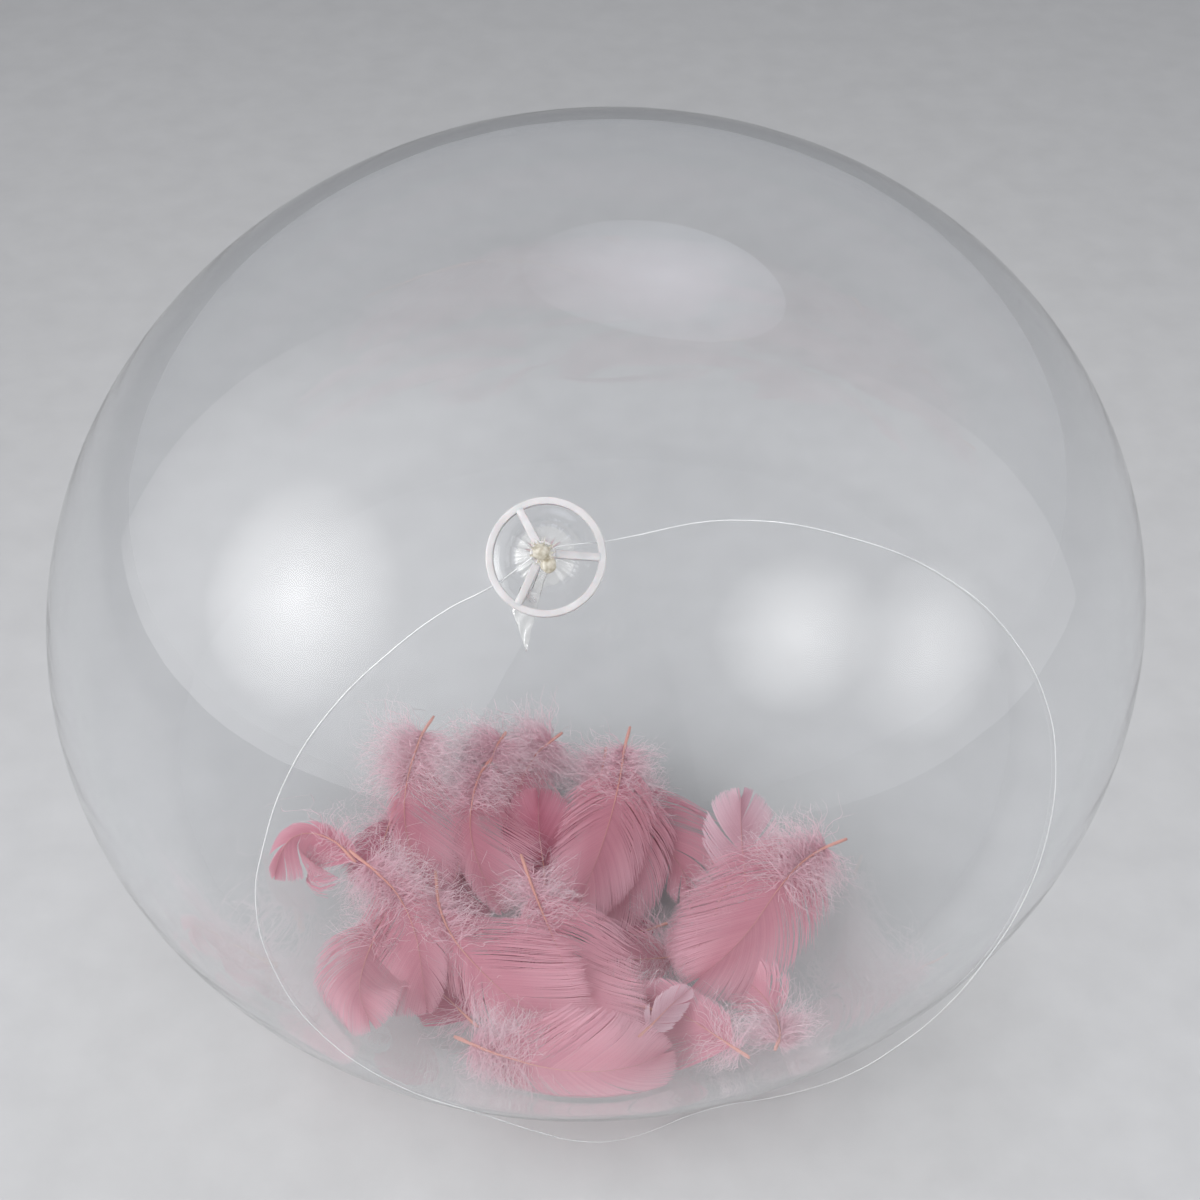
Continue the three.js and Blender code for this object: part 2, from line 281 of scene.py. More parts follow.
def film_profile(inset, last_height):
    """(radius, height) in metres about the ball's middle, with the wall inset inwards."""
    last_angle = pi - np.arcsin(SHOULDER_RADIUS / MEAN_RADIUS)
    angles = np.linspace(0, last_angle, ROWS_ON_BALL)
    points = [((MEAN_RADIUS - inset) * sin(a), -(BALL_LENGTH / 2 - inset) * cos(a))
              for a in angles]
    for radius, height in shoulder:
        if height <= last_height:
            points.append((max(radius * MM - inset, 0), BALL_LENGTH / 2 + height * MM - inset))
    if points[-1][0] > 0:
        points.append((0, points[-1][1]))
    return points


print("points on the outer wall's profile:", len(film_profile(0, NECK_TOP)))

# %% Pull the ball oval and gather the pleats
# The pleats' outer radius, the height where they start, and the rise to their full depth.
PLEATS_OUT_TO, PLEATS_START, PLEATS_RISE = 16 * MM, 2 * MM, 5 * MM
PLEAT_DEPTH, DEEPEST_SHARE = 0.4 * MM, 0.12
# Each wave of pleats: how many go round the neck, how deep they are, and where they start.
PLEAT_WAVES = ((16, 0.6, 0), (23, 0.4, 1.3), (37, 0.3, 0))


def oval_and_pleats(point):
    """Widen the round film into the ball's oval, and gather it in pleats towards the neck."""
    radius = (point.x ** 2 + point.y ** 2) ** 0.5
    height = point.z - BALL_LENGTH / 2
    by_neck = 1.0
    if point.z > 0:
        t = min(max((radius - ROUND_RADIUS) / (SHOULDER_RADIUS - ROUND_RADIUS), 0), 1)
        by_neck = t * t * (3 - 2 * t)
    wide = 1 + (ball_half.x / MEAN_RADIUS - 1) * by_neck
    high = 1 + (ball_half.y / MEAN_RADIUS - 1) * by_neck
    if point.z > 0 and 1e-6 < radius < PLEATS_OUT_TO:
        bearing = np.arctan2(point.y, point.x)
        depth = PLEAT_DEPTH * min(max((height - PLEATS_START) / PLEATS_RISE, 0), 1)
        waves = sum(deep * cos(count * bearing + start) for count, deep, start in PLEAT_WAVES)
        gathered = 1 + min(depth / radius, DEEPEST_SHARE) * waves
        wide, high = wide * gathered, high * gathered
    return Vector((point.x * wide, point.y * high, point.z))


# %% Spin both walls and flatten them where the ball rests
def spin_about_z(bm, geom, steps, turns=1, climb=0, closed=True):
    """Spin the geometry about Z. It rises by climb at each step."""
    bmesh.ops.spin(bm, geom=geom, cent=(0, 0, 0), axis=(0, 0, 1), dvec=(0, 0, climb),
                   angle=2 * pi * turns, steps=steps, use_merge=closed, use_duplicate=False)


def spun_wall(bm, profile):
    """Spin a profile about Z into a closed wall, and give its vertices and faces."""
    verts = [bm.verts.new((radius, 0, height)) for radius, height in profile]
    edges = [bm.edges.new(pair) for pair in zip(verts, verts[1:])]
    before = set(bm.verts) - set(verts)
    spin_about_z(bm, verts + edges, FACES_ROUND)
    wall = [v for v in bm.verts if v not in before]
    bmesh.ops.remove_doubles(bm, verts=wall, dist=0.002 * MM)
    wall = [v for v in bm.verts if v not in before]
    faces = [f for f in bm.faces if f.verts[0] not in before]
    bmesh.ops.recalc_face_normals(bm, faces=faces)
    return wall, faces


film_bm = bmesh.new()
outer_wall, outer_faces = spun_wall(film_bm, film_profile(0, NECK_TOP))
inner_wall, inner_faces = spun_wall(film_bm, film_profile(WALL, INNER_TOP))
bmesh.ops.reverse_faces(film_bm, faces=inner_faces)
for vert in outer_wall + inner_wall:
    vert.co = oval_and_pleats(vert.co)
bmesh.ops.transform(film_bm, matrix=ball_frame, verts=film_bm.verts)
for walls, floor_height in ((outer_wall, 0), (inner_wall, WALL)):
    for vert in walls:
        vert.co.z = max(vert.co.z, floor_height)
print("film faces:", len(film_bm.faces))

# %% [markdown]
# ## The film: knot and tail
# Above the ring the gathered film is folded over and tied, which makes two hard cream lumps
# with frayed edges. What is left over of the bag's mouth is a flat clear strip that lies
# beside the lowest spoke and ends in a point on the ball. The lumps, and a smaller one that
# joins them, are spheres pushed about at random. The shreds and the strip are grids, laid
# where they belong and then given a wall.

# %% Mark the gathered film
# The film gets three finishes: clear is number 0, and these are the other two.
CREAM, GATHERED = 1, 2
GATHERED_ABOVE, GATHERED_WITHIN = 7 * MM, 9.6 * MM


def mark(faces, material):
    """Give the faces the piece's finish of this number."""
    for face in faces:
        face.material_index = material


about_tip = neck_frame.inverted()
for face in outer_faces + inner_faces:
    middle = about_tip @ face.calc_center_median()
    if middle.z > GATHERED_ABOVE and middle.xy.length < GATHERED_WITHIN:
        face.material_index = GATHERED
print("gathered faces:", sum(f.material_index == GATHERED for f in film_bm.faces))

# %% Shape the knot's lumps
rng = np.random.default_rng(7)
LUMP_FOLDS = 10


def crumpled_lump(bm, across, up, height, radius, half):
    """A small folded lump of film about the neck, sizes in mm."""
    place = (neck_frame @ Matrix.Translation(Vector((across, up, height)) * MM)
             @ Matrix.Diagonal((radius * MM, radius * MM, half * MM, 1)))
    lump = bmesh.ops.create_icosphere(bm, subdivisions=4, radius=1, matrix=Matrix.Identity(4))
    folds = rng.uniform(-3.5, 3.5, (LUMP_FOLDS, 3))
    starts = rng.uniform(0, 2 * pi, LUMP_FOLDS)
    for vert in lump["verts"]:
        waves = [abs(sin(Vector(f).dot(vert.co) + a)) for f, a in zip(folds, starts)]
        vert.co = place @ (vert.co * (0.78 + 0.3 * (sum(waves) / LUMP_FOLDS)))
    mark({f for v in lump["verts"] for f in v.link_faces}, CREAM)


# Each lump's place across and up, its height, its radius and half its thickness, in mm.
for lump in ((0, 0, 20.1, 2.9, 2.5), (2.6, -4.1, 19.0, 2.7, 2.0), (1.4, -2.1, 19.2, 1.7, 1.5)):
    crumpled_lump(film_bm, *lump)
print("faces with the lumps:", len(film_bm.faces))

# %% Stand torn shreds off the knot
SHRED_WALL = 0.06 * MM


def give_wall(bm, grid, wall, finish):
    """Make a laid grid a closed thin shell with the finish of this number."""
    faces = list(dict.fromkeys(f for v in grid["verts"] for f in v.link_faces))
    shell = bmesh.ops.solidify(bm, geom=faces, thickness=wall)
    mark(faces + [f for f in shell["geom"] if isinstance(f, bmesh.types.BMFace)], finish)


def frayed_flap(bm, bearing, out, height, length, width, lean):
    """A narrow torn shred of film that stands off the knot."""
    made = bmesh.ops.create_grid(bm, x_segments=2, y_segments=6, size=0.5)
    turn = Matrix.Rotation(radians(bearing), 4, "Z")
    for vert in made["verts"]:
        t = vert.co.y + 0.5
        side = vert.co.x * width * (1 - 0.8 * t) + 0.3 * sin(5 * t + bearing)
        spot = Vector((out + length * t * cos(lean * (0.6 + 0.6 * t)), side,
                       height + length * t * sin(lean * (0.6 + 0.6 * t))))
        vert.co = neck_frame @ turn @ (spot * MM)
    give_wall(bm, made, SHRED_WALL, CREAM)


# From least to most: distance out, height, length and width in mm, and lean.
BROAD_SHREDS = ((1.4, 2.2), (18.2, 19.6), (1.6, 3.2), (0.7, 1.6), (-0.5, 0.35))
THIN_SHREDS = ((1.6, 2.3), (17.3, 18.6), (2.0, 4.2), (0.25, 0.6), (-0.55, 0.2))
for bearing in (35, 80, 130, 165, 200, 250, 285, 310, 335):
    frayed_flap(film_bm, bearing, *[rng.uniform(*span) for span in BROAD_SHREDS])
for bearing in range(8, 360, 14):
    frayed_flap(film_bm, bearing + rng.uniform(-5, 5),
                *[rng.uniform(*span) for span in THIN_SHREDS])
print("faces with the shreds:", len(film_bm.faces))

# %% Lay the flat tail beside the lowest spoke and down onto the ball
SPOKE_BEARING = 3.5
LOWEST_SPOKE = radians(SPOKE_BEARING + 240)
TAIL_WALL, CREASE_HEIGHT = 0.12 * MM, 0.2
# Distance out along the spoke, the two edges to its side, and the height, in mm.
tail_stations = [
    (3, 2.3, 5.2, 18.7), (5, 2.1, 5, 17.4), (7, 2, 4.9, 14.7), (9, 1.9, 5, 11.3),
    (11.8, 1.7, 5.3, 6.7), (12.8, -2, 5.4, 5.9), (16, -1.6, 6.1, 3.1), (19, -1.2, 6.7, 1.5),
    (21, -0.9, 7.1, 0.8), (25, 3.9, 8.2, -0.2), (30, 9.5, 9.9, -1.2)]


def tail_at(run, across):
    """A point of the tail, from how far it is along the stations and from edge to edge."""
    i = min(int(run), len(tail_stations) - 2)
    near, far = Vector(tail_stations[i]), Vector(tail_stations[i + 1])
    out, left, right, height = near.lerp(far, run - i)
    side = left + (right - left) * across
    crease = CREASE_HEIGHT * sin(across * 11 + out) * min(out / 8, 1)
    return neck_frame @ (Vector((out * cos(LOWEST_SPOKE) - side * sin(LOWEST_SPOKE),
                                 out * sin(LOWEST_SPOKE) + side * cos(LOWEST_SPOKE),
                                 height + crease)) * MM)


tail = bmesh.ops.create_grid(film_bm, x_segments=8, y_segments=50, size=0.5)
for vert in tail["verts"]:
    vert.co = tail_at((vert.co.y + 0.5) * (len(tail_stations) - 1), vert.co.x + 0.5)
give_wall(film_bm, tail, TAIL_WALL, GATHERED)
print("faces with the tail:", len(film_bm.faces))

# %% [markdown]
# ## What clear film looks like
# Clear film takes its look from what is behind it and from the lamps that it mirrors. Its
# shader is a plain clear one with a very smooth surface. Stretching leaves faint streaks that
# run round the neck and smear the brightest reflections, so a stretched noise gives the
# surface a slight bump. Where the film is gathered and in its tail it is creased and a little
# milky. The film casts no shadow, because real film this thin takes hardly any light away,
# and the path tracer would otherwise leave the feathers in the dark.

# %% Make the clear film, the cream knot and the gathered film
FILM_IOR = 1.47
clear_film, nodes, links, shader = new_material("clear_film")
set_shader(shader, Base_Color=(0.985, 0.99, 0.995, 1), Roughness=0, IOR=FILM_IOR,
           Transmission_Weight=1)
streaks = noise_on_object(nodes, links, 9, 3, stretch=(0.6, 0.6, 4),
                          turn=(radians(90) - NECK_ELEVATION, 0, 0))
bump_from(nodes, links, shader, streaks, 0.4 * MM, 0.25)

knot_film, nodes, links, shader = new_material("knotted_film")
blotches = noise_on_object(nodes, links, 700, 4)
mottle(nodes, links, shader, blotches, (0.34, 0.30, 0.22), (0.72, 0.69, 0.61))
set_shader(shader, Roughness=0.3, IOR=FILM_IOR, Transmission_Weight=0.45)
bump_from(nodes, links, shader, blotches, 0.3 * MM, 0.7)

gathered_film, nodes, links, shader = new_material("gathered_film")
set_shader(shader, Base_Color=(0.95, 0.95, 0.94, 1), Roughness=0.18, IOR=FILM_IOR,
           Transmission_Weight=0.92)
creases = noise_on_object(nodes, links, 400, 4)
bump_from(nodes, links, shader, creases, 0.3 * MM, 0.6)

film = finished(film_bm, "film_blown", Matrix.Identity(4),
                [clear_film, knot_film, gathered_film])
film.visible_shadow = False
print("film:", len(film.data.polygons), "faces")

# %% [markdown]
# ## The neck ring
# The ring is one white plastic moulding: a flat rim 40 mm across, and three spokes that rise
# to a small hub that grips the gathered neck. The rim and the hub are round, so each is a
# small section spun about the neck. The spokes are cubes, cut along their length, moved onto
# their rising line and bevelled, so that each edge catches a thin highlight as real ones do.

# %% Spin the rim and the hub
RIM_OUTER, RIM_INNER, RIM_BACK, RIM_FRONT = 20, 17.5, 3, 5.6
HUB_OUTER, HUB_BORE, HUB_BACK, HUB_FRONT = 4.1, 2.6, 12.4, 16.2
SPOKE_WIDTH, MOULD_ROUND, SPOKE_ROUND = 2.7, 0.45, 0.35
RIM_STEPS, HUB_STEPS = 144, 64


def spun_section(inner, outer, back, front, rounding, steps):
    """A ring with a rectangular section in mm and rounded edges, spun about Z."""
    bm = bmesh.new()
    corners = [(outer, back), (outer, front), (inner, front), (inner, back)]
    bm.faces.new([bm.verts.new((r * MM, 0, h * MM)) for r, h in corners])
    bmesh.ops.bevel(bm, geom=list(bm.verts), offset=rounding * MM, segments=4, profile=0.5,
                    affect="VERTICES", material=-1)
    bmesh.ops.delete(bm, geom=list(bm.faces), context="FACES_ONLY")
    spin_about_z(bm, list(bm.verts) + list(bm.edges), steps)
    return bm


def pour_into(bm, part):
    """Add one bmesh to another, and free it."""
    carrier = bpy.data.meshes.new("carrier")
    part.to_mesh(carrier)
    part.free()
    bm.from_mesh(carrier)
    bpy.data.meshes.remove(carrier)


ring_bm = bmesh.new()
for section in ((RIM_INNER, RIM_OUTER, RIM_BACK, RIM_FRONT, MOULD_ROUND, RIM_STEPS),
                (HUB_BORE, HUB_OUTER, HUB_BACK, HUB_FRONT, MOULD_ROUND, HUB_STEPS)):
    pour_into(ring_bm, spun_section(*section))
print("rim and hub faces:", len(ring_bm.faces))


# %% Shape the three spokes
SPOKE_IN_HUB, SPOKE_IN_RIM = 0.7, 1.2


def rising_spoke(bearing):
    """One spoke, from inside the rim up to inside the hub's wall.

    The small numbers, in mm, keep its top and bottom a little inside those of both rings.
    """
    bm = bmesh.new()
    bmesh.ops.create_cube(bm, size=1)
    lengthwise = [e for e in bm.edges if abs(e.verts[0].co.x - e.verts[1].co.x) > 0.5]
    bmesh.ops.subdivide_edges(bm, edges=lengthwise, cuts=9)
    for vert in bm.verts:
        t = vert.co.x + 0.5
        out = (HUB_BORE + SPOKE_IN_HUB) * (1 - t) + (RIM_OUTER - SPOKE_IN_RIM) * t
        rise = min(max((RIM_INNER - 0.4 - out) / (RIM_INNER - 1.1 - HUB_BORE), 0), 1)
        top = RIM_FRONT - 0.15 + (HUB_FRONT - 0.85 - RIM_FRONT) * rise
        bottom = RIM_BACK + 0.6 + (HUB_BACK - 0.3 - RIM_BACK) * rise
        vert.co = Vector((out, vert.co.y * SPOKE_WIDTH * (1.04 - 0.08 * t),
                          top if vert.co.z > 0 else bottom)) * MM
    long_corners = [e for e in bm.edges if e.calc_face_angle(0) > 1.2
                    and abs(e.verts[0].co.y - e.verts[1].co.y) < 0.2 * MM
                    and abs(e.verts[0].co.x - e.verts[1].co.x) > 0.5 * MM]
    bmesh.ops.bevel(bm, geom=long_corners, offset=SPOKE_ROUND * MM, segments=3,
                    profile=0.5, affect="EDGES", material=-1)
    bmesh.ops.rotate(bm, verts=bm.verts, cent=(0, 0, 0),
                     matrix=Matrix.Rotation(radians(bearing), 3, "Z"))
    return bm


for i in range(3):
    pour_into(ring_bm, rising_spoke(SPOKE_BEARING + 120 * i))
bmesh.ops.recalc_face_normals(ring_bm, faces=ring_bm.faces)
print("faces with the spokes:", len(ring_bm.faces))

# %% [markdown]
# ## White moulded plastic
# The ring is cheap soft plastic: slightly grey and translucent, satin, and a little uneven
# where it cooled. A fine noise varies its colour by a hair and gives the faces a faint swirl.

# %% Make the plastic and finish the ring
ring_plastic, nodes, links, shader = new_material("white_moulded_plastic")
cooling = noise_on_object(nodes, links, 180, 3)
mottle(nodes, links, shader, cooling, (0.46, 0.445, 0.45), (0.54, 0.525, 0.53))
set_shader(shader, Roughness=0.38, Subsurface_Weight=0.15, Subsurface_Scale=1.5 * MM)
bump_from(nodes, links, shader, cooling, 0.05 * MM, 0.4)
ring = finished(ring_bm, "ring_moulded", neck_frame, [ring_plastic])
print("ring across in mm:", 2 * RIM_OUTER)

# %% [markdown]
# ## The line tied round the neck
# Two and a half turns of the line hold the gathered neck shut. The turns are a tiny circle
# spun about the neck while it climbs, which is just how a wrapped line is made.

# %% Wrap the line round the neck
WRAP_RADIUS, WRAP_HEIGHT, WRAP_START = 2.55, 16.75, 26
WRAP_TURNS, WRAP_STEPS = 2.5, 100


def wrapped_line(bm, radius, height, turns, thickness, start):
    """A round line that climbs by its own thickness with each turn."""
    circle = bmesh.ops.create_circle(bm, cap_ends=False, segments=10, radius=thickness / 2,
                                     matrix=Matrix.Rotation(pi / 2, 4, "X"))
    bmesh.ops.translate(bm, verts=circle["verts"], vec=(radius * MM, 0, height * MM))
    bmesh.ops.rotate(bm, verts=circle["verts"], cent=(0, 0, 0),
                     matrix=Matrix.Rotation(radians(start), 3, "Z"))
    edges = list(dict.fromkeys(e for v in circle["verts"] for e in v.link_edges))
    climb = thickness * turns / WRAP_STEPS
    spin_about_z(bm, circle["verts"] + edges, WRAP_STEPS, turns, climb, closed=False)
    bmesh.ops.holes_fill(bm, edges=bm.edges, sides=0)


knot_bm = bmesh.new()
wrapped_line(knot_bm, WRAP_RADIUS, WRAP_HEIGHT, WRAP_TURNS, LINE_DIAMETER, WRAP_START)
bmesh.ops.recalc_face_normals(knot_bm, faces=knot_bm.faces)
print("wrap faces:", len(knot_bm.faces))

nylon, nodes, links, shader = new_material("clear_nylon")
drawn = noise_on_object(nodes, links, 90, 2)
mottle(nodes, links, shader, drawn, (0.72, 0.73, 0.74), (0.86, 0.87, 0.88))
set_shader(shader, Roughness=0.2, IOR=1.53, Transmission_Weight=0.2)
nylon_line.data.materials.append(nylon)
wraps = finished(knot_bm, "line_wraps", neck_frame, [nylon])

# %% [markdown]
# ## Feathers
# A small goose feather has a pale quill, soft curly down round its lower third, and a vane
# of fine barbs that hook together and split where they are ruffled. Hair strands would be
# the quick way, but they don't survive as a mesh. So each feather is built flat, as rows of
# narrow ribbons: a grid is cut into separate strips, and each strip becomes one barb. Then
# the flat feather is bent along its own lie and kept inside the film.

# %% Cut a grid into separate strips
def strips(count, steps):
    """A bmesh with count separate flat strips of some steps each, and where its points are.

    The second value gives for each vertex its strip, its edge (0 or 1) and its share of the
    strip's length.
    """
    bm = bmesh.new()
    columns = 2 * count - 1
    bmesh.ops.create_grid(bm, x_segments=columns, y_segments=steps, size=0.5)
    column = {v: round((v.co.x + 0.5) * columns) for v in bm.verts}
    row = {v: round((v.co.y + 0.5) * steps) for v in bm.verts}
    between = [e for e in bm.edges if column[e.verts[0]] != column[e.verts[1]]
               and min(column[v] for v in e.verts) % 2 == 1]
    places = [(column[v] // 2, column[v] % 2, row[v] / steps) for v in bm.verts]
    bmesh.ops.delete(bm, geom=between, context="EDGES_FACES")
    return bm, np.array(places)


def move_points(bm, points):
    """Put each vertex on its point."""
    for vert, point in zip(bm.verts, points):
        vert.co = point


def unit(vectors):
    """The same directions, each with a length of one."""
    return vectors / np.linalg.norm(vectors, axis=1)[:, None]


# %% [markdown]
# ## The vane
# Each barb leaves the quill at a slant, bends towards the tip and ends on the vane's
# outline, so the edge comes out smooth and the end round. Neighbours cling together in
# locks, and the locks part from each other a little, which draws the fine splits that make
# a feather look real. Flat coordinates are used here: to the side, along, and up.

# %% Draw a vane's outline
def vane_outline(place, first, end, width, roundness):
    """How far the vane reaches sideways at each place along the quill, in mm.

    It starts at six tenths of its width, is full by a third of its run, and closes in a
    quarter of an oval, which is shorter the rounder its tip is.
    """
    run = np.clip((place - first) / (end - first), 0, 1)
    rise = 0.6 + 0.4 * np.sin(np.clip(run / 0.35, 0, 1) * pi / 2)
    turn = 0.3 + 0.35 * roundness
    return width * rise * np.sqrt(1 - np.clip((run - turn) / (1 - turn), 0, 1) ** 2)


print("half a vane 20 mm wide, in mm:",
      vane_outline(np.arange(0, 61, 10), 0, 60, 20, 0.5).round(1))

# %% Work out the barbs of one side of a vane
BARB_PITCH, BARB_STEPS = 0.4, 9
FEWEST_IN_LOCK, MOST_IN_LOCK = 8, 50
# Of the lowest barb, and how much less at the tip, in degrees.
SLANT_LOW, SLANT_LOST = 58, 45
BEND_LOW, BEND_LOST = 30, 21
HALVINGS = 24


def vane_side(rng, side, first, last, end, width, looseness, splits, roundness):
    """The ribbons of one side of the vane: a bmesh, its flat points in mm, and its tints."""
    count = max(int((last - first) / BARB_PITCH), 8)
    bm, places = strips(count, BARB_STEPS)
    barb, edge, t = places[:, 0].astype(int), places[:, 1], places[:, 2]
    along = np.linspace(0, 1, count)
    root = first + (last - first) * along

    # Part the barbs into locks. Those of one lock lean together and lie at one height.
    lock = np.zeros(count, int)
    shift, lift = np.zeros(count), np.zeros(count)
    start, number = 0, 0
    while start < count:
        size = int(rng.integers(FEWEST_IN_LOCK, MOST_IN_LOCK))
        members = np.arange(start, min(start + size, count))
        gather = rng.uniform(0.0, 0.012) * (1 + looseness + 16 * splits)
        shift[members] = (gather * (members - members.mean()) * BARB_PITCH / max(width, 4)
                          + rng.normal(0, 0.002 + 0.03 * splits))
        lift[members] = rng.normal(0, 0.15 + 0.4 * splits)
        lock[members] = number
        start, number = start + size, number + 1

    # The lowest barbs are the loosest, stand out the most and bend the most.
    loose = looseness * np.clip(1 - along / 0.45, 0, 1) + 0.03
    slant = np.radians(SLANT_LOW - SLANT_LOST * along ** 1.2)
    opening = -np.gradient(slant)
    slant = slant + shift + rng.normal(0, 1, count) * 0.1 * loose
    bend = np.radians(BEND_LOW - BEND_LOST * along)

    def sideways(size, t, i=slice(None)):
        return size * (np.cos(slant[i] - bend[i] * t) - np.cos(slant[i])) / bend[i]

    def forward(size, t, i=slice(None)):
        return root[i] + size * (np.sin(slant[i]) - np.sin(slant[i] - bend[i] * t)) / bend[i]

    # Halve the doubt about each barb's length until it ends on the outline.
    short, long = np.zeros(count), np.full(count, 3.5 * width)
    for _ in range(HALVINGS):
        reach = (short + long) / 2
        inside = sideways(reach, 1) < vane_outline(forward(reach, 1), first, end, width,
                                                   roundness)
        short, long = np.where(inside, reach, short), np.where(inside, long, reach)
    reach = reach * (1 + rng.normal(0, 1, count) * 0.02 * (1 + 6 * loose))

    # Lay each ribbon along its barb, a little wider than the gap, and narrow to its tip.
    size, angle = reach[barb], slant[barb] - bend[barb] * t
    out, ahead = sideways(size, t, barb), forward(size, t, barb)
    wander = rng.normal(0, 1, (2, count))
    fuzz = loose[barb] * t ** 1.6
    up = lift[barb] * t ** 2 + wander[0][barb] * fuzz * 2.5
    up = up - (out / max(width, 4)) ** 2 * width * 0.12
    out = out + np.sin(t * 5 + wander[1][barb] * 3) * fuzz * 1.6
    gap = BARB_PITCH * np.sin(angle) + size * t * opening[barb]
    ribbon = (edge - 0.5) * gap * 1.6 * (1 - 0.65 * t ** 6) * (1 - 0.45 * loose[barb])
    flat = np.stack([side * (out - ribbon * np.cos(angle)), ahead + ribbon * np.sin(angle),
                     up + (edge - 0.5) * 0.14], axis=1)
    tint = rng.normal(0.5, 0.10, count)[barb] + rng.normal(0, 0.07, number + 1)[lock[barb]]
    return bm, flat, np.stack([t, np.clip(tint, 0, 1)], axis=1)


# %% [markdown]
# ## The down
# Down is what keeps a goose warm: long loose barbs that curl every way and catch on each
# other. Each has a fringe too fine to see, so it looks like a soft thread a third of a
# millimetre wide. They get the same strips, each with its own direction and slow curl.

# %% Work out the down round the lower quill
DOWN_STEPS, DOWN_WIDTH = 8, 0.32


def down_tuft(rng, amount, first, last, reach):
    """Curling strands round the lower quill: a bmesh, its flat points in mm, its tints."""
    bm, places = strips(amount, DOWN_STEPS)
    strand, edge, t = places[:, 0].astype(int), places[:, 1], places[:, 2]
    side = rng.choice([-1, 1], amount)
    root = first + (last - first) * rng.beta(1.1, 1.5, amount)
    heading = np.radians(rng.normal(76, 28, amount))
    rise = np.radians(rng.normal(-6, 20, amount))
    size = reach * (0.3 + 0.8 * rng.beta(1.3, 1.7, amount))
    direction = np.stack([side * np.sin(heading) * np.cos(rise), np.cos(heading),
                          np.sin(rise)], axis=1)
    across = unit(np.stack([-direction[:, 1], direction[:, 0], np.zeros(amount)], axis=1))
    over = np.cross(direction, across)
    swing = rng.uniform(0.5, 1.9, (2, amount)) * 2 * pi
    phase = rng.uniform(0, 2 * pi, (2, amount))
    depth = rng.uniform(0.06, 0.2, (2, amount)) * size

    def curl(i):
        return (np.sin(swing[i][strand] * t ** 1.4 + phase[i][strand])
                - np.sin(phase[i][strand])) * depth[i][strand] * t ** 0.6

    flat = np.zeros((len(t), 3))
    flat[:, 1] = root[strand]
    flat += direction[strand] * (size[strand] * t)[:, None]
    flat += across[strand] * curl(0)[:, None] + over[strand] * curl(1)[:, None]
    half = (edge - 0.5) * DOWN_WIDTH * (1 - 0.6 * t)
    flat += (across[strand] * np.cos(phase[0][strand])[:, None]
             + over[strand] * np.sin(phase[0][strand])[:, None]) * half[:, None]
    tint = np.clip(rng.normal(0.5, 0.2, amount), 0, 1)[strand]
    return bm, flat, np.stack([t, tint], axis=1)


# %% [markdown]
# ## The quill
# The quill is a hard tube, 1.7 mm thick near its blunt end, that thins to a hair at the tip.
# A long eight-sided cone, cut across many times so that it can bend, is all that it takes.

# %% Work out the quill
QUILL_THICKNESS, QUILL_TIP_RADIUS = 1.7, 0.09
QUILL_SIDES, QUILL_CUTS, QUILL_LIFT = 8, 28, 0.3


def quill(length):
    """A quill of this length: a bmesh, its flat points in mm, and its tints."""
    bm = bmesh.new()
    bmesh.ops.create_cone(bm, cap_ends=True, segments=QUILL_SIDES, depth=length,
                          radius1=QUILL_THICKNESS / 2, radius2=QUILL_TIP_RADIUS)
    lengthwise = [e for e in bm.edges if abs(e.verts[0].co.z - e.verts[1].co.z) > 0.5]
    bmesh.ops.subdivide_edges(bm, edges=lengthwise, cuts=QUILL_CUTS)
    flat = np.array([(v.co.x, v.co.z + length / 2, v.co.y * 0.9) for v in bm.verts])
    run = flat[:, 1] / length
    slim = 1 - 0.55 * np.clip((run - 0.08) / 0.4, 0, 1)
    slim[flat[:, 1] < 0.1] = 0.75
    flat[:, [0, 2]] *= slim[:, None]
    flat[:, 2] += QUILL_LIFT
    return bm, flat, np.stack([run, np.full(len(flat), 0.5)], axis=1)


# %% [markdown]
# ## Bending a feather into its lie
# Each feather's lie is given by a few points from the quill's end to the vane's tip, and by
# the way that its face looks. The flat feather is carried along that curve. Whatever would
# come through the film is pressed back onto its inner side, as the real film does.

# %% Carry flat points along a lie and keep them inside the film
INSIDE_GAP = 1.3
LIE_POINTS, POINTS_BETWEEN = 160, 30


def smooth_lie(points):
    """Evenly spaced points in mm along a smooth run through the points, and its length."""
    p = np.array(points, float)
    p = np.vstack([2 * p[0] - p[1], p, 2 * p[-1] - p[-2]])
    t = np.linspace(0, 1, POINTS_BETWEEN, endpoint=False)[:, None]
    run = [smooth_between(*p[i:i + 4], t) for i in range(len(p) - 3)]
    run = np.vstack(run + [p[-2][None]])
    gone = np.concatenate([[0], np.cumsum(np.linalg.norm(np.diff(run, axis=0), axis=1))])
    even = np.linspace(0, gone[-1], LIE_POINTS)
    return np.stack([np.interp(even, gone, run[:, i]) for i in range(3)], axis=1), gone[-1]


ball_middle = np.array(ball_centre) / MM
ball_axes = np.array(ball_turn.to_3x3()).T
ball_room = np.array(ball_half) / MM - WALL / MM - INSIDE_GAP


def pressed_inside(points):
    """Points in mm, with each one that lies beyond the film's inner side moved onto it."""
    local = (points - ball_middle) @ ball_axes.T
    reach = np.linalg.norm(local / ball_room, axis=1)
    local = np.where((reach > 1)[:, None], local / reach[:, None], local)
    return local @ ball_axes + ball_middle


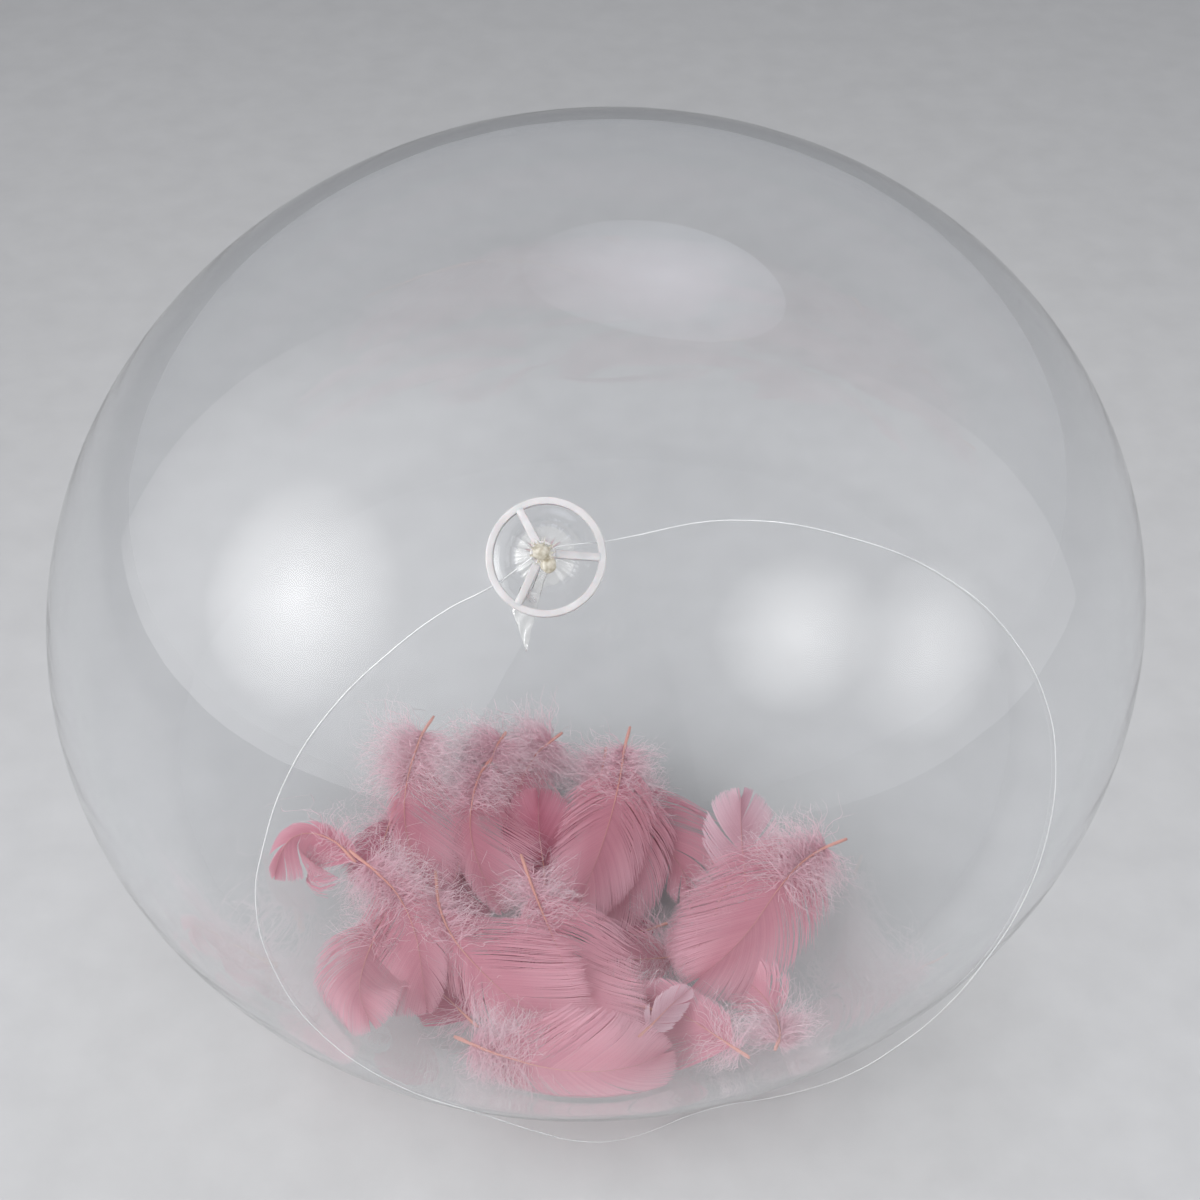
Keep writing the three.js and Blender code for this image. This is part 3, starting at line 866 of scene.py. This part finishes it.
def carried(flat, lie, length, face):
    """Flat feather points carried along its lie, with the feather's face looking one way."""
    step = length / (len(lie) - 1)
    ahead = unit(np.gradient(lie, axis=0))
    side = unit(np.cross(ahead, face / np.linalg.norm(face)))
    up = np.cross(side, ahead)
    run = np.clip(flat[:, 1], 0, length)
    i = np.clip(run / step, 0, len(lie) - 1.001).astype(int)
    f = (run / step - i)[:, None]

    def mixed(values):
        return values[i] * (1 - f) + values[i + 1] * f

    base = mixed(lie) + mixed(ahead) * (flat[:, 1] - run)[:, None]
    return pressed_inside(base + mixed(side) * flat[:, :1] + mixed(up) * flat[:, 2:])


# %% [markdown]
# ## Dyed feather finishes
# The dye takes differently on each part. The vane comes out dusty pink, the down a greyer
# pink because so little of it is there, and the hard quill stays peach. Some feathers get a
# deeper pink, partly their own deeper dye and partly painted shade on those that lie under
# and behind the others. Each vane pales along its barbs towards its edge, which paints a pale
# highlight there. Thin barbs let light through, so the vane and the down mix a little light
# from behind into their colour. Each barb carries its own tint in a UV map: one axis runs
# along the barb, the other is its own random tone.

# %% Make the finishes of the vane, the down and the quill
def feather_finish(name, root, tip, shade, glow, sheen):
    """A finish that goes from the root colour to the tip colour along each barb."""
    material, nodes, links, shader = new_material(name)
    tint = nodes.new("ShaderNodeUVMap")
    tint.uv_map = "barbs"
    parts = nodes.new("ShaderNodeSeparateXYZ")
    links.new(tint.outputs["UV"], parts.inputs["Vector"])
    along = two_colours(nodes, links, parts.outputs["X"], root, tip, 0.25, 1.0)
    shades = two_colours(nodes, links, parts.outputs["Y"], shade, (1, 1, 1), 0.15, 0.75)
    dyed = nodes.new("ShaderNodeMix")
    dyed.data_type = "RGBA"
    dyed.blend_type = "MULTIPLY"
    dyed.inputs["Factor"].default_value = 1
    links.new(along.outputs["Color"], dyed.inputs["A"])
    links.new(shades.outputs["Color"], dyed.inputs["B"])
    links.new(dyed.outputs["Result"], shader.inputs["Base Color"])
    set_shader(shader, Roughness=0.6, Specular_IOR_Level=0.3, Sheen_Weight=sheen)
    behind = nodes.new("ShaderNodeBsdfTranslucent")
    links.new(dyed.outputs["Result"], behind.inputs["Color"])
    both = nodes.new("ShaderNodeMixShader")
    both.inputs["Fac"].default_value = glow
    links.new(shader.outputs["BSDF"], both.inputs[1])
    links.new(behind.outputs["BSDF"], both.inputs[2])
    links.new(both.outputs["Shader"], nodes["Material Output"].inputs["Surface"])
    return material


# Every vane pales from root to tip, which paints a pale highlight along the vane's edge.
vane_pink = feather_finish("vane_pink", (0.74, 0.35, 0.43), (0.86, 0.53, 0.61),
                           (0.86, 0.74, 0.79), 0.35, 0.15)
# The deep pink is partly some feathers' own deeper dye and partly painted shade on those that
# lie under and behind the others.
vane_deep_and_shaded = feather_finish("vane_deep_and_shaded_pink", (0.60, 0.21, 0.29), (0.68, 0.31, 0.39),
                           (0.82, 0.66, 0.72), 0.3, 0.1)
vane_pale = feather_finish("vane_pale_pink", (0.70, 0.44, 0.51), (0.84, 0.66, 0.72),
                           (0.86, 0.76, 0.80), 0.4, 0.15)
down_pink = feather_finish("down_pink", (0.86, 0.62, 0.69), (0.88, 0.78, 0.81),
                           (0.90, 0.84, 0.86), 0.5, 0.1)
quill_peach = feather_finish("quill_peach", (0.80, 0.42, 0.36), (0.70, 0.36, 0.40),
                             (0.9, 0.85, 0.85), 0.15, 0.0)
print("feather finishes:", [m.name for m in (vane_pink, vane_deep_and_shaded, vane_pale, down_pink,
                                             quill_peach)])


# %% Put one feather together
VANE, DOWN, QUILL = 0, 1, 2
DOWN_FROM, DOWN_TO = 0.09, 0.38


def feather(name, lie, face, widths, down, vane=vane_pink, looseness=0.4, splits=0.1,
            vane_from=0.18, down_reach=24, roundness=0.5, seed=1):
    """One feather from its lie in mm, the way its face looks and the vane's two widths.

    Down is the number of its strands. Looseness ruffles the lowest barbs, splits parts the
    locks, vane_from is where the vane starts, and roundness is that of its tip.
    """
    rng = np.random.default_rng(seed)
    lie, length = smooth_lie(lie)
    shaft = length - 0.35 * min(widths)
    parts = [(quill(shaft), QUILL)]
    for side, width in zip((-1, 1), widths):
        parts.append((vane_side(rng, side, vane_from * length, shaft - 0.5, length, width,
                                looseness, splits, roundness), VANE))
    if down:
        parts.append((down_tuft(rng, down, DOWN_FROM * length, DOWN_TO * length,
                                down_reach), DOWN))
    whole = bmesh.new()
    tints = []
    for (part, flat, tint), finish in parts:
        move_points(part, carried(flat, lie, length, np.array(face, float)) * MM)
        mark(part.faces, finish)
        pour_into(whole, part)
        tints.append(tint)
    piece = finished(whole, name, Matrix.Identity(4), [vane, down_pink, quill_peach])
    corner = np.zeros(len(piece.data.loops), int)
    piece.data.loops.foreach_get("vertex_index", corner)
    tint_map = piece.data.uv_layers.new(name="barbs")
    tint_map.data.foreach_set("uv", np.vstack(tints)[corner].ravel())
    return piece


# %% [markdown]
# ## The heap of feathers
# The feathers have slid to the bottom of the ball. Most quills point to the back, and the
# vanes fan out over each other towards the front. Each entry below is one feather: the
# points of its lie from the quill's end to its tip, in mm, then the way its face looks, the
# widths of its vane to the left and right, its strands of down, and what sets it apart.

# %% Lay the feathers
# The two ways that their faces look.
UPRIGHT, FORWARD = (0, -0.45, 0.89), (0, -0.64, 0.77)
# Several feathers that lie under and behind the others take the deep pink, which is partly
# painted shade.
feathers = [
    feather("feather_under_deep", [(34, 2, 15), (23, -1, 13), (11, -3, 12), (-2, -1, 10)],
        UPRIGHT, (18, 18), 150, vane=vane_deep_and_shaded, seed=20),
    feather("feather_under_mid", [(46, -22, 22), (32, -24, 20), (14, -25, 20), (-8, -23, 20)],
        UPRIGHT, (18, 18), 300, seed=21),
    feather("feather_under_left", [(-58, 52, 27), (-66, 28, 27), (-67, 2, 29), (-60, -26, 32)],
        UPRIGHT, (20, 16), 500, vane=vane_deep_and_shaded, seed=24),
    feather("feather_under_right", [(66, 30, 24), (58, 6, 25), (50, -18, 28), (38, -42, 31)],
        UPRIGHT, (19, 18), 500, seed=25),
    feather("feather_under_heap", [(-12, 12, 24), (-24, -14, 26), (-36, -40, 30),
        (-52, -62, 35)],
        UPRIGHT, (20, 18), 300, vane=vane_deep_and_shaded, seed=26),
    feather("feather_fan", [(3, 99, 28), (14, 86, 24), (24, 71, 20), (33, 53, 18), (42, 34, 16),
        (46, 12, 14)],
        UPRIGHT, (27, 15), 450, splits=0.7, seed=14),
    feather("feather_bright", [(10, 96, 31), (15, 78, 29), (18, 56, 26), (16, 35, 24),
        (10, 14, 21), (1, -4, 19)],
        UPRIGHT, (20, 17), 350, splits=0.05, roundness=0.8, seed=13),
    feather("feather_round_tip", [(-24, 15, 13), (-25, 30, 21), (-27, 43, 28), (-28, 56, 34),
        (-28, 69, 39)],
        UPRIGHT, (18, 18), 100, vane=vane_deep_and_shaded, looseness=0.0, splits=0.0, roundness=1.0,
        vane_from=0.1, seed=10),
    feather("feather_fluffy_back", [(-17, 110, 37), (-25, 103, 35), (-31, 95, 34),
        (-37, 78, 32), (-40, 52, 26)],
        UPRIGHT, (19, 17), 1200, looseness=1.0, vane_from=0.3, down_reach=32, seed=9),
    feather("feather_short_quill", [(5, 101, 35), (3, 88, 33), (0, 72, 30), (-4, 46, 26)],
        UPRIGHT, (17, 16), 800, looseness=0.8, vane_from=0.3, down_reach=26, seed=27),
    feather("feather_between", [(-45, 105, 42), (-50, 95, 40), (-53, 80, 36), (-52, 58, 30)],
        UPRIGHT, (16, 16), 1200, looseness=1.0, vane_from=0.4, down_reach=30, seed=28),
    feather("feather_tall_mid", [(17, 112, 39), (14, 98, 37), (12, 81, 36), (8, 57, 35),
        (2, 31, 34), (-5, 7, 33), (-10, -12, 31)],
        UPRIGHT, (21, 22), 750, splits=0.05, roundness=0.8, seed=12),
    feather("feather_behind_left", [(-97, 61, 37), (-99, 52, 35), (-103, 33, 32),
        (-106, 8, 30)],
        UPRIGHT, (17, 17), 200, vane=vane_deep_and_shaded, seed=2),
    feather("feather_split_tip", [(71, 4, 20), (71, 22, 26), (70, 38, 32), (70, 54, 37),
        (71, 68, 40)],
        UPRIGHT, (18, 18), 200, vane=vane_pale, splits=0.9, looseness=0.1, roundness=0.7,
        seed=15),
    feather("feather_curled_left", [(-112, 10, 48), (-122, 19, 52), (-133, 22, 55),
        (-142, 18, 56), (-147, 10, 53), (-149, -3, 50)],
        FORWARD, (30, 6), 200, splits=0.5, looseness=0.2, vane_from=0.02, seed=3),
    feather("feather_low_left", [(-95, 2, 33), (-100, -22, 37), (-104, -46, 42),
        (-104, -70, 48), (-96, -94, 52)],
        FORWARD, (22, 21), 250, roundness=0.7, seed=5),
    feather("feather_broad_left", [(-115, 12, 54), (-104, 5, 49), (-94, -4, 45), (-87, -16, 43),
        (-82, -31, 43), (-79, -46, 43), (-74, -78, 44)],
        UPRIGHT, (13, 36), 950, looseness=0.8, down_reach=28, seed=4),
    feather("feather_tall_left", [(-81, 109, 49), (-87, 95, 47), (-92, 70, 43), (-92, 46, 40),
        (-86, 22, 37), (-74, -4, 34)],
        UPRIGHT, (27, 8), 1350, looseness=0.7, vane_from=0.2, down_reach=33, seed=1),
    feather("feather_curved_mid", [(-51, 92, 38), (-57, 78, 39), (-60, 60, 39), (-60, 38, 39),
        (-54, 14, 37), (-43, -10, 34)],
        UPRIGHT, (31, 9), 950, looseness=0.7, down_reach=26, seed=8),
    feather("feather_small_left", [(-52, -77, 34), (-61, -66, 33), (-69, -56, 32),
        (-77, -49, 31), (-86, -45, 31)],
        FORWARD, (19, 15), 150, vane=vane_deep_and_shaded, splits=0.4, looseness=0.2, vane_from=0.15,
        seed=6),
    feather("feather_fluffy_right", [(77, -104, 51), (80, -91, 47), (78, -72, 41),
        (70, -54, 36), (60, -40, 31)],
        FORWARD, (14, 14), 950, looseness=1.0, vane_from=0.4, seed=18),
    feather("feather_front", [(-62, -84, 36), (-44, -98, 42), (-22, -109, 46), (-2, -113, 48),
        (17, -109, 47), (34, -96, 43)],
        FORWARD, (26, 19), 950, roundness=0.7, down_reach=28, seed=19),
    feather("feather_long_left", [(-75, 8, 44), (-72, -13, 42), (-64, -34, 43), (-50, -54, 43),
        (-34, -72, 43), (-18, -84, 43), (0, -90, 41)],
        UPRIGHT, (36, 16), 600, splits=0.2, roundness=0.7, seed=7),
    feather("feather_under_front", [(25, -71, 39), (14, -64, 36), (3, -52, 31), (-10, -32, 26)],
        FORWARD, (17, 17), 300, seed=22),
    feather("feather_curled_right", [(66, -108, 51), (56, -95, 46), (44, -81, 42),
        (30, -69, 40), (14, -62, 38)],
        FORWARD, (33, 12), 250, looseness=0.2, splits=0.05, roundness=0.8, seed=17),
    feather("feather_broad_right", [(119, 30, 43), (108, 24, 43), (96, 13, 44), (84, -5, 45),
        (71, -27, 44), (58, -44, 43), (40, -60, 40)],
        UPRIGHT, (25, 33), 1350, looseness=0.7, vane_from=0.12, down_reach=30, roundness=0.6,
        seed=16),
    feather("feather_long_mid", [(-35, 13, 50), (-31, 0, 48), (-25, -18, 46), (-18, -38, 45),
        (-11, -60, 45), (-1, -80, 46), (16, -101, 48)],
        UPRIGHT, (30, 17), 600, splits=0.15, roundness=0.6, seed=11),
    feather("feather_pale_tip", [(18, -97, 51), (25, -88, 50), (33, -78, 50), (42, -68, 50)],
        FORWARD, (7, 7), 0, vane=vane_pale, splits=0.8, looseness=0.2, seed=23),
]
print("feathers:", len(feathers), "faces:", sum(len(f.data.polygons) for f in feathers))

# %% [markdown]
# ## What rides, and what the new pieces replace
# The whole balloon moves as one, so every piece rides on the same body. The frame's own
# solids for the film, its neck, the ring, the line and its knot are hidden, as the new pieces
# take their place.

# %% Attach every piece and hide the frame's solids that they replace
for piece in [film, ring, nylon_line, wraps] + feathers:
    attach(piece, "root")
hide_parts("balloon_film", "film_neck")
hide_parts("neck_ring")
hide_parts("nylon_line")
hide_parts("line_knot")
print("pieces declared:", 4 + len(feathers))

# %% [markdown]
# ## The floor and the lamps
# A clear ball shows mostly lamps, so their places matter more than usual. A softbox on each
# side gives the broad pale patches, and smaller, hotter ones, one on the left and two on the
# right, give the bright cores. A cooler strip behind gives the bluish band near the top. A
# wide lamp overhead lights the floor and the feathers, and is hidden from mirrors so that
# the ball doesn't show it.

# %% Lay a plain pale floor
floor_bm = bmesh.new()
bmesh.ops.create_grid(floor_bm, x_segments=1, y_segments=1, size=6)
floor_paper, nodes, links, shader = new_material("floor_paper")
fibres = noise_on_object(nodes, links, 40, 3)
mottle(nodes, links, shader, fibres, (0.50, 0.50, 0.505), (0.53, 0.53, 0.535))
set_shader(shader, Roughness=0.9, Specular_IOR_Level=0.1)
floor = finished(floor_bm, "floor", Matrix.Identity(4), [floor_paper])
print("floor in m:", [round(size, 1) for size in floor.dimensions.xy])


# %% Hang the lamps
def softbox(name, place, aim, width, height, brightness, spread=180, colour=(1, 1, 1),
            shape="RECTANGLE", mirrored=True):
    """A lamp at one point that faces another, as bright as asked when seen straight on.

    A spread under 180 degrees works like the grid on a real softbox: the lamp dims towards
    its edges, so that its reflection fades instead of ending in a hard line.
    """
    data = bpy.data.lights.new(name, "AREA")
    data.shape = shape
    data.size, data.size_y = width, height
    area = width * height * (1 if shape == "RECTANGLE" else pi / 4)
    half = radians(spread) / 2
    data.spread = 2 * half
    gain = 1.0 if spread >= 180 else tan(half) / (tan(half) - half)
    data.energy = brightness * pi * area / gain
    data.color = colour
    lamp = in_scene(name, data)
    lamp.location = place
    lamp.rotation_euler = (Vector(place) - Vector(aim)).to_track_quat("Z", "Y").to_euler()
    lamp.visible_camera = False
    lamp.visible_glossy = mirrored
    lamp.visible_transmission = False


COOL = (0.86, 0.9, 1.0)
softbox("left_box", (-0.81, -0.33, 1.22), (0.04, 0.03, 0.84), 2.3, 2.3, 2.8, 112)
softbox("left_core", (-0.97, -0.50, 0.72), (-0.102, -0.14, 0.334), 1.1, 1.1, 8, 45,
        shape="ELLIPSE")
softbox("right_box", (0.885, -0.70, 1.015), (-0.02, -0.305, 0.866), 2.2, 2.0, 1.1, 116)
softbox("right_core_near", (0.68, -0.82, 0.77), (0.07, -0.16, 0.33), 0.9, 0.9, 7, 34,
        shape="ELLIPSE")
softbox("right_core_far", (1.04, -0.55, 0.47), (0.115, -0.147, 0.317), 0.9, 0.9, 5, 36,
        shape="ELLIPSE")
softbox("back_strip", (0.18, 0.52, 1.50), (0.02, 0.05, 0.63), 1.0, 0.75, 3.2, 46, colour=COOL,
        shape="ELLIPSE")
softbox("overhead", (0, -0.1, 1.9), (0, 0, 0), 2.4, 2.4, 0.5, mirrored=False)

world = bpy.data.worlds.new("studio")
bpy.context.scene.world = world
world.use_nodes = True
set_shader(world.node_tree.nodes["Background"], Color=(0.9, 0.93, 1, 1), Strength=0.3)
bpy.context.scene.view_settings.view_transform = "Standard"
print("lamps:", len(bpy.data.lights))
